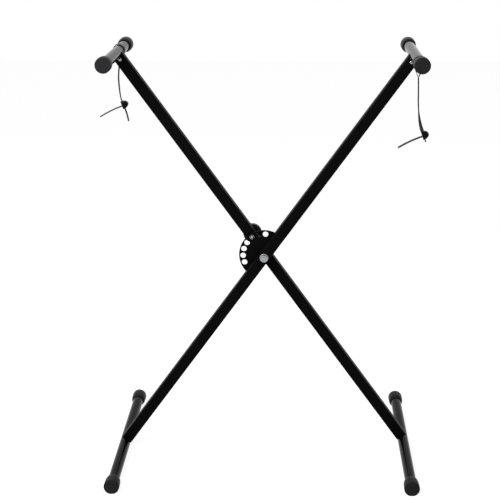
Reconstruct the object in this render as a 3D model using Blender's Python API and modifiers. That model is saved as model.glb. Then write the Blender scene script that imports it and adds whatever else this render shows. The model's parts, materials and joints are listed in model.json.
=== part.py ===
"""An x-style keyboard stand: two square legs crossed on a pivot bolt, with round arm and foot tubes.

Metres, +Z up, the front towards -Y. The origin is on the floor under the middle of the stand, and y = 0 is
the plane midway between the two legs. Each leg is modelled upright on an empty at the pivot, which leans it.
"""

import math

import bmesh
import bpy
from mathutils import Matrix, Vector

# Driving sizes
CLEARANCE = 0.0003
MERGE = 0.000001

LEG_SIDE = 0.022
LEG_CORNER = 0.0028
LEG_WALL = 0.0015
LEG_GAP = 0.0093
LEG_LEAN = math.radians(35.7)
ARM_REACH = 0.497
FOOT_REACH = 0.501
HORN_DROP = 0.0045

TUBE_DIAMETER = 0.022
TUBE_WALL = 0.0015
ARM_LENGTH = 0.325
FOOT_LENGTH = 0.457
FOOT_SHIFT = 0.0044

CAP_LENGTH = 0.032
CAP_FLOOR = 0.003
CAP_WALL = 0.0039
CAP_MOUTH_WALL = 0.0009
CAP_SHOULDER = 0.018
CAP_EDGE = 0.0014
FOOT_FLAT_DEPTH = 0.00095

SPIGOT_LENGTH = 0.040
SPIGOT_WALL = 0.002
SCREW_SETBACK = 0.0034
SCREW_DIAMETER = 0.0042
SCREW_HEAD_WIDTH = 0.0009
SCREW_HEAD_HEIGHT = 0.0018
SCREW_LENGTH = 0.007

HOLE_CIRCLE = 0.043
HOLE_PLAY = 0.0013
HOLE_BRIDGE = 0.003
HOLE_COUNT = 7
HOLE_IN_USE = 2
PIN_PLAY = math.radians(0.8)
PLATE_EDGE = 0.00235
PLATE_THICKNESS = 0.003
PLATE_OVERLAP = 0.008
RIVET_REACH = 0.024
RIVET_DIAMETER = 0.004
RIVET_HEAD_WIDTH = 0.0015
RIVET_HEAD_HEIGHT = 0.0015

BOLT_DIAMETER = 0.008
BOLT_HEAD_HEIGHT = 0.0053
BOLT_END = 0.0008
HEX_WIDTH = 0.0025
HEX_CHAMFER = 0.0007
NUT_HEIGHT = 0.0065
WASHER_WIDTH = 0.0042
WASHER_THICKNESS = 0.0016
BUSH_WALL = 0.0017
SPACER_WIDTH = 0.0077

PIN_DIAMETER = 0.010
PIN_DOME = 0.0035
PIN_COLLAR_WIDTH = 0.002
PIN_COLLAR_THICKNESS = 0.0015
SLEEVE_WALL = 0.0017
SLEEVE_FLANGE_WIDTH = 0.003
SLEEVE_FLANGE = 0.003
KNOB_DIAMETER = 0.038
KNOB_LENGTH = 0.014
KNOB_FLOOR = 0.003
KNOB_ROUNDING = 0.003
SPRING_WIRE = 0.0009
SPRING_PLAY = 0.00065
SPRING_CURLS = 4.5

STRAP_WIDTH = 0.008
STRAP_THICKNESS = 0.0022
STRAP_LAYER = 0.0012
STRAP_SLACK = 0.0006
PINCH_HALF_GAP = 0.0009
LOCK_TILT = math.radians(20)
LOCK_WIDTH = 0.013
LOCK_STRAIGHT = 0.0013
LOCK_HEIGHT = 0.016
LOCK_DEPTH = 0.011
LOCK_STRAP_OFFSET = 0.0033
LOCK_TAIL_OFFSET = 0.0015
TAIL_LENGTH = 0.0495
TAIL_SAG = 0.0052
END_LEAN = -0.10
LEFT_STRAP_FROM_LEG = 0.0234
LEFT_PINCH_DROP = 0.026
LEFT_LOOP_SLANT = 0.016
LEFT_SLANT_AT = math.radians(135)
LEFT_BAND_TURN = math.radians(-8)
LEFT_END_LENGTH = 0.026
RIGHT_STRAP_FROM_CAP = 0.0425
RIGHT_PINCH_DROP = 0.030
RIGHT_LOOP_LEAN = -0.028
RIGHT_BAND_TURN = math.radians(55)
RIGHT_END_LENGTH = 0.005

# Routes of the hanging bands: how far sideways, and how far below the pinch
LEFT_BAND = (
    (0.0, 0.0),
    (-0.0004, 0.0070),
    (-0.0012, 0.0135),
    (-0.0019, 0.0235),
    (-0.0020, 0.0335),
    (-0.0013, 0.0448),
    (-0.0003, 0.0567),
    (0.0014, 0.0675),
    (0.0033, 0.0730),
)
RIGHT_BAND = (
    (0.0, 0.0),
    (0.0003, 0.0070),
    (0.0006, 0.0145),
    (0.0010, 0.0295),
    (0.0013, 0.0443),
    (0.0022, 0.0590),
    (0.0034, 0.0704),
    (0.0054, 0.0836),
    (0.0083, 0.0951),
    (0.0107, 0.1017),
)

ROUND_STEPS = 28
HOLE_STEPS = 20
SMALL_STEPS = 12

# Places worked out from the sizes
LEG_CENTRE_Y = (LEG_GAP + LEG_SIDE) / 2
LEG_FACE_Y = LEG_GAP / 2 + LEG_SIDE
TUBE_RADIUS = TUBE_DIAMETER / 2
CAP_BORE = TUBE_RADIUS + CLEARANCE
CAP_RADIUS = CAP_BORE + CAP_WALL
FOOT_AXIS_HEIGHT = CAP_RADIUS - FOOT_FLAT_DEPTH
PIVOT_HEIGHT = FOOT_REACH * math.cos(LEG_LEAN) + FOOT_AXIS_HEIGHT
SCREW_DROP = TUBE_RADIUS + SCREW_SETBACK
PLATE_FRONT_Y = -LEG_GAP / 2 + CLEARANCE
PLATE_BACK_Y = PLATE_FRONT_Y + PLATE_THICKNESS
BOLT_BORE = BOLT_DIAMETER / 2 + CLEARANCE
BUSH_RADIUS = BOLT_BORE + BUSH_WALL
PIN_BORE = PIN_DIAMETER / 2 + CLEARANCE
SLEEVE_RADIUS = PIN_BORE + SLEEVE_WALL
SLEEVE_BACK_Y = LEG_FACE_Y + CLEARANCE + SLEEVE_FLANGE
KNOB_FRONT_Y = SLEEVE_BACK_Y + CLEARANCE
PLATE_HOLE = (PIN_DIAMETER + HOLE_PLAY) / 2
PLATE_RADIUS = HOLE_CIRCLE + PLATE_HOLE + PLATE_EDGE
HOLE_PITCH = 2 * math.asin((PLATE_HOLE + HOLE_BRIDGE / 2) / HOLE_CIRCLE)
LEFT_STRAP_Y = LEG_FACE_Y + LEFT_STRAP_FROM_LEG
RIGHT_STRAP_Y = CAP_LENGTH + RIGHT_STRAP_FROM_CAP - ARM_LENGTH / 2

TURN_TO_Y = Matrix.Rotation(-math.pi / 2, 4, "X")
TURN_TO_MINUS_Y = Matrix.Rotation(math.pi / 2, 4, "X")


# Scene, collections and materials

for old in list(bpy.data.objects):
    bpy.data.objects.remove(old, do_unlink=True)

PARTS = bpy.data.collections.new("keyboard_stand")
CUTTERS = bpy.data.collections.new("cutters")
CUTTERS.hide_render = True
for made in (PARTS, CUTTERS):
    bpy.context.scene.collection.children.link(made)


def finish(name, colour, roughness, metallic=0.0):
    """A plain material of one colour."""
    made = bpy.data.materials.new(name)
    made.use_nodes = True
    shader = made.node_tree.nodes["Principled BSDF"]
    shader.inputs["Base Color"].default_value = (*colour, 1.0)
    shader.inputs["Roughness"].default_value = roughness
    shader.inputs["Metallic"].default_value = metallic
    made.diffuse_color = (*colour, 1.0)
    return made


BLACK_PAINT = finish("black_paint", (0.012, 0.012, 0.013), 0.35)
BLACK_RUBBER = finish("black_rubber", (0.030, 0.030, 0.031), 0.65)
BLACK_PLASTIC = finish("black_plastic", (0.010, 0.010, 0.011), 0.45)
BRIGHT_ZINC = finish("bright_zinc", (0.62, 0.63, 0.64), 0.30, 1.0)
WHITE_NYLON = finish("white_nylon", (0.55, 0.55, 0.52), 0.50)
WEBBING = finish("webbing", (0.022, 0.022, 0.024), 0.85)


# Shapes


def as_mesh(shape):
    """Replaces a curve or a modified object by the welded mesh that it evaluates to."""
    bpy.context.view_layer.update()
    evaluated = shape.evaluated_get(bpy.context.evaluated_depsgraph_get())
    mesh = bpy.data.meshes.new_from_object(evaluated)
    welded = bmesh.new()
    welded.from_mesh(mesh)
    bmesh.ops.remove_doubles(welded, verts=welded.verts, dist=MERGE)
    welded.to_mesh(mesh)
    welded.free()
    mesh.shade_smooth()
    mesh.set_sharp_from_angle(angle=math.radians(35))
    name = shape.name
    bpy.data.objects.remove(shape)
    made = bpy.data.objects.new(name, mesh)
    PARTS.objects.link(made)
    return made


def extruded(name, loops, depth):
    """A flat outline, with any holes in it, given a thickness along Z about z = 0."""
    curve = bpy.data.curves.new(name, "CURVE")
    curve.dimensions = "2D"
    curve.fill_mode = "BOTH"
    curve.extrude = depth / 2
    for loop in loops:
        spline = curve.splines.new("POLY")
        spline.points.add(len(loop) - 1)
        spline.use_cyclic_u = True
        for point, (x, y) in zip(spline.points, loop):
            point.co = (x, y, 0.0, 1.0)
    shape = bpy.data.objects.new(name, curve)
    PARTS.objects.link(shape)
    return as_mesh(shape)


def turned(name, profile, steps=ROUND_STEPS, closed=False):
    """A profile of (radius, height) points turned round Z. It runs down its outer side, top to bottom."""
    count = len(profile)
    edges = [(i, i + 1) for i in range(count - 1)]
    if closed:
        edges.append((count - 1, 0))
    mesh = bpy.data.meshes.new(name)
    mesh.from_pydata([(radius, 0.0, height) for radius, height in profile], edges, [])
    shape = bpy.data.objects.new(name, mesh)
    PARTS.objects.link(shape)
    screw = shape.modifiers.new("turned", "SCREW")
    screw.steps = steps
    screw.render_steps = steps
    screw.use_merge_vertices = True
    screw.merge_threshold = MERGE
    return as_mesh(shape)


def prism(name, radius, height, sides, collection=PARTS):
    """A cylinder, or a hexagon with six sides, along Z with its middle at the origin."""
    mesh = bpy.data.meshes.new(name)
    built = bmesh.new()
    bmesh.ops.create_cone(
        built, cap_ends=True, segments=sides, radius1=radius, radius2=radius, depth=height
    )
    built.to_mesh(mesh)
    built.free()
    made = bpy.data.objects.new(name, mesh)
    collection.objects.link(made)
    return made


def ring(outer, inner, height):
    """The closed profile of a washer, bush or tube that starts at height 0."""
    return [(outer, height), (outer, 0.0), (inner, 0.0), (inner, height)]


def circle(radius, steps, x=0.0, y=0.0):
    return [
        (x + radius * math.cos(math.tau * i / steps), y + radius * math.sin(math.tau * i / steps))
        for i in range(steps)
    ]


def square(side):
    reach = side / 2
    return [(reach, reach), (-reach, reach), (-reach, -reach), (reach, -reach)]


def rounded_square(side, corner, steps=4):
    """A square outline whose corners are arcs."""
    points = []
    for quarter, (x, y) in enumerate(square(side - 2 * corner)):
        for i in range(steps + 1):
            angle = math.pi / 2 * (quarter + i / steps)
            points.append((x + corner * math.cos(angle), y + corner * math.sin(angle)))
    return points


def arc(centre, radius, start, end, steps):
    """Points (radius, height) of an arc, for the rounded edge of a turned profile."""
    angles = [start + (end - start) * i / steps for i in range(steps + 1)]
    return [(centre[0] + radius * math.cos(a), centre[1] + radius * math.sin(a)) for a in angles]


def dome(radius, height, base, steps=3):
    """Points (radius, height) of a low dome, from its top to its edge at the base."""
    angles = [math.pi / 2 * i / steps for i in range(1, steps + 1)]
    return [(0.0, base + height), *((radius * math.sin(a), base + height * math.cos(a)) for a in angles)]


def smooth_route(points, parts):
    """Points along a smooth curve through the given ones, each a Vector."""
    ends = [points[0] * 2 - points[1], *points, points[-1] * 2 - points[-2]]
    route = []
    for before, start, end, after in zip(ends, ends[1:], ends[2:], ends[3:]):
        for i in range(parts):
            t = i / parts
            slope = (end - before) * t
            bend = (before * 2 - start * 5 + end * 4 - after) * t * t
            swing = (start * 3 - before - end * 3 + after) * t * t * t
            route.append(start + (slope + bend + swing) / 2)
    route.append(points[-1])
    return route


def ribbon(name, points, thickness, twist=0.0, parts=3):
    """Flat webbing along a smooth route. Its width starts along Y and turns by twist on its lower half."""
    route = smooth_route([Vector(p) for p in points], parts)
    last = len(route) - 1
    corners = []
    for i, middle in enumerate(route):
        along = (route[min(i + 1, last)] - route[max(i - 1, 0)]).normalized()
        share = max(0.0, 2 * i / last - 1)
        across = Vector((0.0, 1.0, 0.0))
        across = (across - along * across.dot(along)).normalized()
        across.rotate(Matrix.Rotation(twist * share * share * (3 - 2 * share), 3, along))
        corners += [middle - across * STRAP_WIDTH / 2, middle + across * STRAP_WIDTH / 2]
    mesh = bpy.data.meshes.new(name)
    mesh.from_pydata(corners, [], [(2 * i, 2 * i + 1, 2 * i + 3, 2 * i + 2) for i in range(last)])
    shape = bpy.data.objects.new(name, mesh)
    PARTS.objects.link(shape)
    solid = shape.modifiers.new("webbing", "SOLIDIFY")
    solid.thickness = thickness
    solid.offset = 0.0
    return as_mesh(shape)


# Placing and cutting


def place(piece, parent, matrix, material):
    """Puts a piece in its parent's frame."""
    piece.parent = parent
    piece.matrix_local = matrix
    piece.data.materials.clear()
    piece.data.materials.append(material)
    return piece


def at(x=0.0, y=0.0, z=0.0):
    return Matrix.Translation((x, y, z))


def empty(name, parent=None, matrix=None):
    made = bpy.data.objects.new(name, None)
    made.empty_display_size = 0.03
    PARTS.objects.link(made)
    made.parent = parent
    made.matrix_local = matrix or Matrix.Identity(4)
    return made


def cutter(shape, parent, matrix):
    """Keeps a shape as a cutter, out of the renders."""
    for held in list(shape.users_collection):
        held.objects.unlink(shape)
    CUTTERS.objects.link(shape)
    shape.hide_render = True
    shape.display_type = "WIRE"
    shape.parent = parent
    shape.matrix_local = matrix
    return shape


def combine(piece, tool, operation="DIFFERENCE"):
    change = piece.modifiers.new(tool.name, "BOOLEAN")
    change.operation = operation
    change.object = tool


def drill(piece, parent, name, radius, x, z, front, back, steps=HOLE_STEPS):
    """Cuts a round hole along Y from front to back at (x, z) of the parent's frame."""
    tool = prism(name, radius, back - front, steps, CUTTERS)
    half_step = Matrix.Rotation(math.pi / steps, 4, "Z")
    combine(piece, cutter(tool, parent, at(x, (front + back) / 2, z) @ TURN_TO_Y @ half_step))


# Legs


def cope(piece, leg, reach, name):
    """Hollows an end to the round tube that it meets."""
    drill(piece, leg, name, TUBE_RADIUS + CLEARANCE, 0.0, reach, -FOOT_LENGTH, FOOT_LENGTH, ROUND_STEPS)


def leg_tube(name, leg, centre_y):
    """A square tube from foot to arm, coped at both ends and bored for the pivot bush."""
    top = ARM_REACH - HORN_DROP
    bottom = -(FOOT_REACH - HORN_DROP)
    outer = rounded_square(LEG_SIDE, LEG_CORNER)
    inner = rounded_square(LEG_SIDE - 2 * LEG_WALL, max(LEG_CORNER - LEG_WALL, CLEARANCE))
    tube = extruded(name, [outer, inner], top - bottom)
    place(tube, leg, at(0.0, centre_y, (top + bottom) / 2), BLACK_PAINT)
    cope(tube, leg, ARM_REACH, name + "_arm_cope")
    cope(tube, leg, -FOOT_REACH, name + "_foot_cope")
    front = centre_y - LEG_SIDE
    back = centre_y + LEG_SIDE
    drill(tube, leg, name + "_bush_hole", BUSH_RADIUS + CLEARANCE, 0.0, 0.0, front, back)
    arm_hole = ARM_REACH - SCREW_DROP
    foot_hole = SCREW_DROP - FOOT_REACH
    radius = SCREW_DIAMETER / 2 + CLEARANCE
    drill(tube, leg, name + "_arm_screw_hole", radius, 0.0, arm_hole, front, centre_y, SMALL_STEPS)
    drill(tube, leg, name + "_foot_screw_hole", radius, 0.0, foot_hole, centre_y, back, SMALL_STEPS)
    return tube


def spigot(name, leg, centre_y, reach, facing):
    """The square tube inside a leg's end that carries the round tube. Facing -1 is screwed from the front."""
    side = LEG_SIDE - 2 * LEG_WALL - 2 * CLEARANCE
    corner = max(LEG_CORNER - LEG_WALL, CLEARANCE)
    upwards = math.copysign(1.0, reach)
    middle = reach - upwards * (HORN_DROP + SPIGOT_LENGTH / 2)
    loops = [rounded_square(side, corner), square(side - 2 * SPIGOT_WALL)]
    body = extruded(name, loops, SPIGOT_LENGTH)
    place(body, leg, at(0.0, centre_y, middle), BRIGHT_ZINC)
    cope(body, leg, reach, name + "_cope")
    hole_z = reach - upwards * SCREW_DROP
    radius = SCREW_DIAMETER / 2 + CLEARANCE
    front, back = sorted((centre_y, centre_y + facing * LEG_SIDE))
    drill(body, leg, name + "_screw_hole", radius, 0.0, hole_z, front, back, SMALL_STEPS)

    shank = SCREW_DIAMETER / 2
    profile = dome(shank + SCREW_HEAD_WIDTH, SCREW_HEAD_HEIGHT, 0.0)
    profile += [(shank, 0.0), (shank, -SCREW_LENGTH), (0.0, -SCREW_LENGTH)]
    screw = turned(name + "_screw", profile, SMALL_STEPS)
    turn = TURN_TO_Y if facing > 0 else TURN_TO_MINUS_Y
    face = centre_y + facing * (LEG_SIDE / 2 + CLEARANCE)
    place(screw, leg, at(0.0, face, hole_z) @ turn, BRIGHT_ZINC)


# Arms and feet


def round_tube(name, leg, centre_y, reach, length):
    """An arm or foot tube along Y, with its middle at centre_y."""
    bare = length - 2 * (CAP_FLOOR + CLEARANCE)
    tube = turned(name, ring(TUBE_RADIUS, TUBE_RADIUS - TUBE_WALL, bare), closed=True)
    place(tube, leg, at(0.0, centre_y - bare / 2, reach) @ TURN_TO_Y, BLACK_PAINT)


def cap_profile():
    """A thick boot with a rounded edge at its closed end and a long rounded shoulder down to its mouth."""
    mouth = CAP_BORE + CAP_MOUTH_WALL
    outline = arc((CAP_RADIUS - CAP_EDGE, -CAP_EDGE), CAP_EDGE, math.pi / 2, 0.0, 3)
    for i in range(5):
        angle = math.pi / 2 * i / 5
        radius = mouth + (CAP_RADIUS - mouth) * math.cos(angle)
        outline.append((radius, CAP_SHOULDER - CAP_LENGTH - CAP_SHOULDER * math.sin(angle)))
    inside = [(mouth, -CAP_LENGTH), (CAP_BORE, -CAP_LENGTH), (CAP_BORE, -CAP_FLOOR), (0.0, -CAP_FLOOR)]
    return [(0.0, 0.0), *outline, *inside]


def caps(name, leg, centre_y, reach, length):
    """The front and the back cap of one round tube."""
    front = turned(name + "_front_cap", cap_profile())
    place(front, leg, at(0.0, centre_y - length / 2, reach) @ TURN_TO_MINUS_Y, BLACK_RUBBER)
    back = turned(name + "_back_cap", cap_profile())
    place(back, leg, at(0.0, centre_y + length / 2, reach) @ TURN_TO_Y, BLACK_RUBBER)
    return front, back


def rest_flat(cap, name, side):
    """Cuts the small flat that a foot cap stands on. Side -1 is under the left foot."""
    mesh = bpy.data.meshes.new(name)
    built = bmesh.new()
    bmesh.ops.create_cube(built, size=1.0)
    size = (4 * CAP_RADIUS, 2 * FOOT_LENGTH, 2 * CAP_RADIUS)
    bmesh.ops.scale(built, vec=size, verts=built.verts)
    built.to_mesh(mesh)
    built.free()
    tool = bpy.data.objects.new(name, mesh)
    CUTTERS.objects.link(tool)
    x = side * FOOT_REACH * math.sin(LEG_LEAN)
    combine(cap, cutter(tool, None, at(x, 0.0, -CAP_RADIUS)))


def half(name, leg, centre_y, arm_side, foot_side):
    """One leg with its arm, its foot and what joins them. The foot is on the other side from the arm."""
    arm = arm_side + "_arm"
    foot = foot_side + "_foot"
    tube = leg_tube(name + "_leg_tube", leg, centre_y)
    spigot(arm + "_spigot", leg, centre_y, ARM_REACH, -1)
    spigot(foot + "_spigot", leg, centre_y, -FOOT_REACH, 1)
    foot_y = math.copysign(FOOT_SHIFT, centre_y)
    round_tube(arm + "_tube", leg, 0.0, ARM_REACH, ARM_LENGTH)
    round_tube(foot + "_tube", leg, foot_y, -FOOT_REACH, FOOT_LENGTH)
    caps(arm, leg, 0.0, ARM_REACH, ARM_LENGTH)
    for cap in caps(foot, leg, foot_y, -FOOT_REACH, FOOT_LENGTH):
        rest_flat(cap, cap.name + "_flat", -1 if foot_side == "left" else 1)
    return tube


# Locking plate on the front leg


def locking_plate(leg, tube):
    """A half disc behind the front leg, with the holes that the pin drops into."""
    edge = math.acos(PLATE_OVERLAP / PLATE_RADIUS)
    sweep = math.tau - 2 * edge
    rim = [edge + sweep * i / ROUND_STEPS for i in range(ROUND_STEPS + 1)]
    loops = [[(PLATE_RADIUS * math.cos(a), PLATE_RADIUS * math.sin(a)) for a in rim]]
    loops.append(circle(BOLT_BORE, HOLE_STEPS))
    in_use = 2 * LEG_LEAN - PIN_PLAY
    for hole in range(HOLE_COUNT):
        angle = in_use + (hole - HOLE_IN_USE) * HOLE_PITCH
        x = -HOLE_CIRCLE * math.sin(angle)
        y = HOLE_CIRCLE * math.cos(angle)
        loops.append(circle(PLATE_HOLE, HOLE_STEPS, x, y))
    rivet_hole = RIVET_DIAMETER / 2 + CLEARANCE
    for y in (-RIVET_REACH, RIVET_REACH):
        loops.append(circle(rivet_hole, SMALL_STEPS, 0.0, y))
    plate = extruded("locking_plate", loops, PLATE_THICKNESS)
    place(plate, leg, at(0.0, (PLATE_FRONT_Y + PLATE_BACK_Y) / 2) @ TURN_TO_MINUS_Y, BLACK_PAINT)

    shank = RIVET_DIAMETER / 2
    head = shank + RIVET_HEAD_WIDTH
    seat = PLATE_BACK_Y + CLEARANCE
    inner = -LEG_GAP / 2 - LEG_WALL - CLEARANCE
    profile = dome(head, RIVET_HEAD_HEIGHT, seat)
    profile += [(shank, seat), (shank, inner), (head, inner)]
    profile += [(head, inner - RIVET_HEAD_HEIGHT), (0.0, inner - RIVET_HEAD_HEIGHT)]
    for word, z in (("upper", RIVET_REACH), ("lower", -RIVET_REACH)):
        rivet = turned("plate_rivet_" + word, profile, SMALL_STEPS)
        place(rivet, leg, at(z=z) @ TURN_TO_Y, BRIGHT_ZINC)
        drill(tube, leg, "plate_rivet_hole_" + word, rivet_hole, 0.0, z, -LEG_CENTRE_Y, 0.0, SMALL_STEPS)


# Pivot


def hexagon(name, height):
    """A bolt's head or a nut, from height 0 up, with broken corners."""
    across_flats = BOLT_DIAMETER / 2 + HEX_WIDTH
    body = prism(name, across_flats / math.cos(math.pi / 6), height, 6)
    body.data.transform(at(z=height / 2))
    bevel = body.modifiers.new("broken corners", "BEVEL")
    bevel.width = HEX_CHAMFER
    bevel.segments = 1
    return as_mesh(body)


def pivot(front_leg, rear_leg):
    """The bolt, nut, washers, bushes and spacer that the legs turn on."""
    stack = LEG_FACE_Y + CLEARANCE + WASHER_THICKNESS + CLEARANCE
    end = stack + NUT_HEIGHT + BOLT_END
    bolt = hexagon("pivot_bolt", BOLT_HEAD_HEIGHT)
    place(bolt, front_leg, at(y=stack) @ TURN_TO_Y, BRIGHT_ZINC)
    radius = BOLT_DIAMETER / 2
    overlap = BOLT_HEAD_HEIGHT / 2
    profile = [(0.0, overlap), (radius, overlap), (radius, -stack - end + HEX_CHAMFER)]
    profile += [(radius - HEX_CHAMFER, -stack - end), (0.0, -stack - end)]
    shank = turned("pivot_bolt_shank", profile, HOLE_STEPS)
    combine(bolt, cutter(shank, front_leg, at(y=stack) @ TURN_TO_Y), "UNION")

    nut = hexagon("pivot_nut", NUT_HEIGHT)
    place(nut, front_leg, at(y=-stack) @ TURN_TO_MINUS_Y, BRIGHT_ZINC)
    drill(nut, front_leg, "pivot_nut_thread", BOLT_BORE, 0.0, 0.0, -2 * stack, 0.0)

    washer = ring(BOLT_BORE + WASHER_WIDTH, BOLT_BORE, WASHER_THICKNESS)
    face = LEG_FACE_Y + CLEARANCE
    front = turned("pivot_front_washer", washer, HOLE_STEPS, closed=True)
    place(front, front_leg, at(y=-face) @ TURN_TO_MINUS_Y, BRIGHT_ZINC)
    back = turned("pivot_back_washer", washer, HOLE_STEPS, closed=True)
    place(back, front_leg, at(y=face) @ TURN_TO_Y, BRIGHT_ZINC)

    spacer_front = PLATE_BACK_Y + CLEARANCE
    spacer_length = LEG_GAP / 2 - CLEARANCE - spacer_front
    profile = ring(BOLT_BORE + SPACER_WIDTH, BOLT_BORE, spacer_length)
    spacer = turned("pivot_spacer", profile, HOLE_STEPS, closed=True)
    place(spacer, front_leg, at(y=spacer_front) @ TURN_TO_Y, WHITE_NYLON)

    bush = ring(BUSH_RADIUS, BOLT_BORE, LEG_SIDE)
    for name, leg, start in (("front", front_leg, -LEG_FACE_Y), ("rear", rear_leg, LEG_GAP / 2)):
        made = turned(name + "_leg_bush", bush, HOLE_STEPS, closed=True)
        place(made, leg, at(y=start) @ TURN_TO_Y, BRIGHT_ZINC)


# Spring pin on the rear leg


def helix(radius, start, end, curls, per_curl=9):
    """Points of an even coil along Z from start to end."""
    count = round(curls * per_curl)
    points = []
    for i in range(count + 1):
        angle = math.tau * i / per_curl
        height = start + (end - start) * i / count
        points.append(Vector((radius * math.cos(angle), radius * math.sin(angle), height)))
    return points


def least_gap(points, wire, apart):
    """The least distance between surfaces of a tube's stretches that are not neighbours, in metres."""
    near = min((a - b).length for i, a in enumerate(points) for b in points[i + apart :])
    return near - wire


def lock(leg, axis, tube):
    """The pin and its collar, guide sleeve, spring and pull knob, all along Y on the lock's axis."""
    inner_front = LEG_GAP / 2 + LEG_WALL
    inner_back = LEG_FACE_Y - LEG_WALL
    drill(tube, leg, "pin_hole", PIN_BORE, 0.0, HOLE_CIRCLE, 0.0, LEG_CENTRE_Y)
    sleeve_hole = SLEEVE_RADIUS + CLEARANCE
    drill(tube, leg, "sleeve_hole", sleeve_hole, 0.0, HOLE_CIRCLE, LEG_CENTRE_Y, 2 * LEG_FACE_Y)

    radius = PIN_DIAMETER / 2
    collar = radius + PIN_COLLAR_WIDTH
    tip = PLATE_BACK_Y + CLEARANCE
    shoulder = inner_front + CLEARANCE
    collar_back = shoulder + PIN_COLLAR_THICKNESS
    knob_back = KNOB_FRONT_Y + KNOB_LENGTH
    socket_end = knob_back - KNOB_FLOOR
    pin_end = socket_end - CLEARANCE
    profile = [(0.0, pin_end), (radius, pin_end), (radius, collar_back), (collar, collar_back)]
    tip_dome = dome(radius, -PIN_DOME, tip + PIN_DOME, 4)
    profile += [(collar, shoulder), (radius, shoulder), *reversed(tip_dome)]
    place(turned("lock_pin", profile, HOLE_STEPS), axis, TURN_TO_Y, BRIGHT_ZINC)

    flange = SLEEVE_RADIUS + SLEEVE_FLANGE_WIDTH
    seat = LEG_FACE_Y + CLEARANCE
    profile = [(flange, SLEEVE_BACK_Y), (flange, seat), (SLEEVE_RADIUS, seat)]
    profile += [(SLEEVE_RADIUS, inner_back), (PIN_BORE, inner_back), (PIN_BORE, SLEEVE_BACK_Y)]
    sleeve = turned("lock_sleeve", profile, HOLE_STEPS, closed=True)
    place(sleeve, leg, at(z=HOLE_CIRCLE) @ TURN_TO_Y, BRIGHT_ZINC)

    start = collar_back + CLEARANCE + SPRING_WIRE / 2
    end = inner_back - CLEARANCE - SPRING_WIRE / 2
    points = helix(radius + SPRING_PLAY + SPRING_WIRE / 2, start, end, SPRING_CURLS)
    curve = bpy.data.curves.new("lock_spring", "CURVE")
    curve.dimensions = "3D"
    curve.bevel_depth = SPRING_WIRE / 2
    curve.bevel_resolution = 1
    curve.use_fill_caps = True
    spline = curve.splines.new("POLY")
    spline.points.add(len(points) - 1)
    for point, place_of in zip(spline.points, points):
        point.co = (*place_of, 1.0)
    shape = bpy.data.objects.new("lock_spring", curve)
    PARTS.objects.link(shape)
    place(as_mesh(shape), leg, at(z=HOLE_CIRCLE) @ TURN_TO_Y, BRIGHT_ZINC)
    print(f"lock_spring least gap {least_gap(points, SPRING_WIRE, 6) * 1000:.2f} mm")

    knob = KNOB_DIAMETER / 2
    rounding = (knob - KNOB_ROUNDING, knob_back - KNOB_ROUNDING)
    edge = (knob - CAP_EDGE, KNOB_FRONT_Y + CAP_EDGE)
    profile = [(0.0, knob_back), *arc(rounding, KNOB_ROUNDING, math.pi / 2, 0.0, 3)]
    profile += arc(edge, CAP_EDGE, 0.0, -math.pi / 2, 2)
    profile += [(PIN_BORE, KNOB_FRONT_Y), (PIN_BORE, socket_end), (0.0, socket_end)]
    place(turned("lock_knob", profile), axis, TURN_TO_Y, BLACK_PLASTIC)


# Straps on the arms


def loop_route(y, drop, slant, lean):
    """The strap round the tube: both strands leave it at a tangent and meet at the pinch."""
    reach = TUBE_RADIUS + STRAP_SLACK + STRAP_LAYER / 2
    pinch = Vector((PINCH_HALF_GAP, -drop))
    leaves = math.atan2(pinch.y, pinch.x) + math.acos(reach / pinch.length)
    around = [leaves + (math.pi - 2 * leaves) * i / 8 for i in range(9)]
    section = [(reach * math.cos(a), reach * math.sin(a)) for a in around]
    halfway = ((pinch.x + section[0][0]) / 2, (pinch.y + section[0][1]) / 2)
    section = [(pinch.x, pinch.y), halfway, *section, (-halfway[0], halfway[1]), (-pinch.x, pinch.y)]
    route = []
    for x, z in section:
        lift = max(0.0, math.cos(math.atan2(z, x) - LEFT_SLANT_AT))
        rise = max(0.0, (z - halfway[1]) / (reach - halfway[1]))
        route.append((x, y + slant * lift * lift + lean * rise * rise * (3 - 2 * rise), z))
    return route


def strap(name, hang, y, drop, slant, lean, band, turn, end_length):
    """Webbing round an arm, the doubled band below it, the strap lock, its tail and its loose end."""
    place(ribbon(name + "_loop", loop_route(y, drop, slant, lean), STRAP_LAYER, parts=2), hang, at(), WEBBING)

    top = -drop - STRAP_LAYER / 2 - CLEARANCE
    band_points = [(x, y, top - below) for x, below in band]
    place(ribbon(name + "_band", band_points, STRAP_THICKNESS, turn), hang, at(), WEBBING)

    tilt = Matrix.Rotation(-LOCK_TILT, 4, "Y")
    seat = Vector((-LOCK_STRAP_OFFSET, 0.0, LOCK_HEIGHT / 2 + CLEARANCE))
    centre = Vector(band_points[-1]) - tilt.to_3x3() @ seat
    lock_frame = Matrix.Translation(centre) @ tilt
    side = LOCK_WIDTH / 2
    height = LOCK_HEIGHT / 2
    swell = LOCK_WIDTH - LOCK_STRAIGHT
    outline = [(-side, height), (-side, -height)]
    for i in range(9):
        angle = math.pi * (i / 8 - 0.5)
        outline.append((side - swell + swell * math.cos(angle), height * math.sin(angle)))
    block = extruded(name + "_lock", [outline], LOCK_DEPTH)
    place(block, hang, lock_frame @ TURN_TO_MINUS_Y, BLACK_PLASTIC)

    tail_points = []
    end_points = []
    for share in (0.0, 1 / 3, 2 / 3, 1.0):
        sag = TAIL_SAG * share * share
        tail_points.append((-side - CLEARANCE - TAIL_LENGTH * share, 0.0, -LOCK_TAIL_OFFSET - sag))
        fall = end_length * share
        end_points.append((END_LEAN * share * fall - LOCK_STRAP_OFFSET, 0.0, -height - CLEARANCE - fall))
    place(ribbon(name + "_tail", tail_points, STRAP_THICKNESS), hang, lock_frame, WEBBING)
    place(ribbon(name + "_end", end_points, STRAP_THICKNESS, parts=1), hang, lock_frame, WEBBING)


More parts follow.
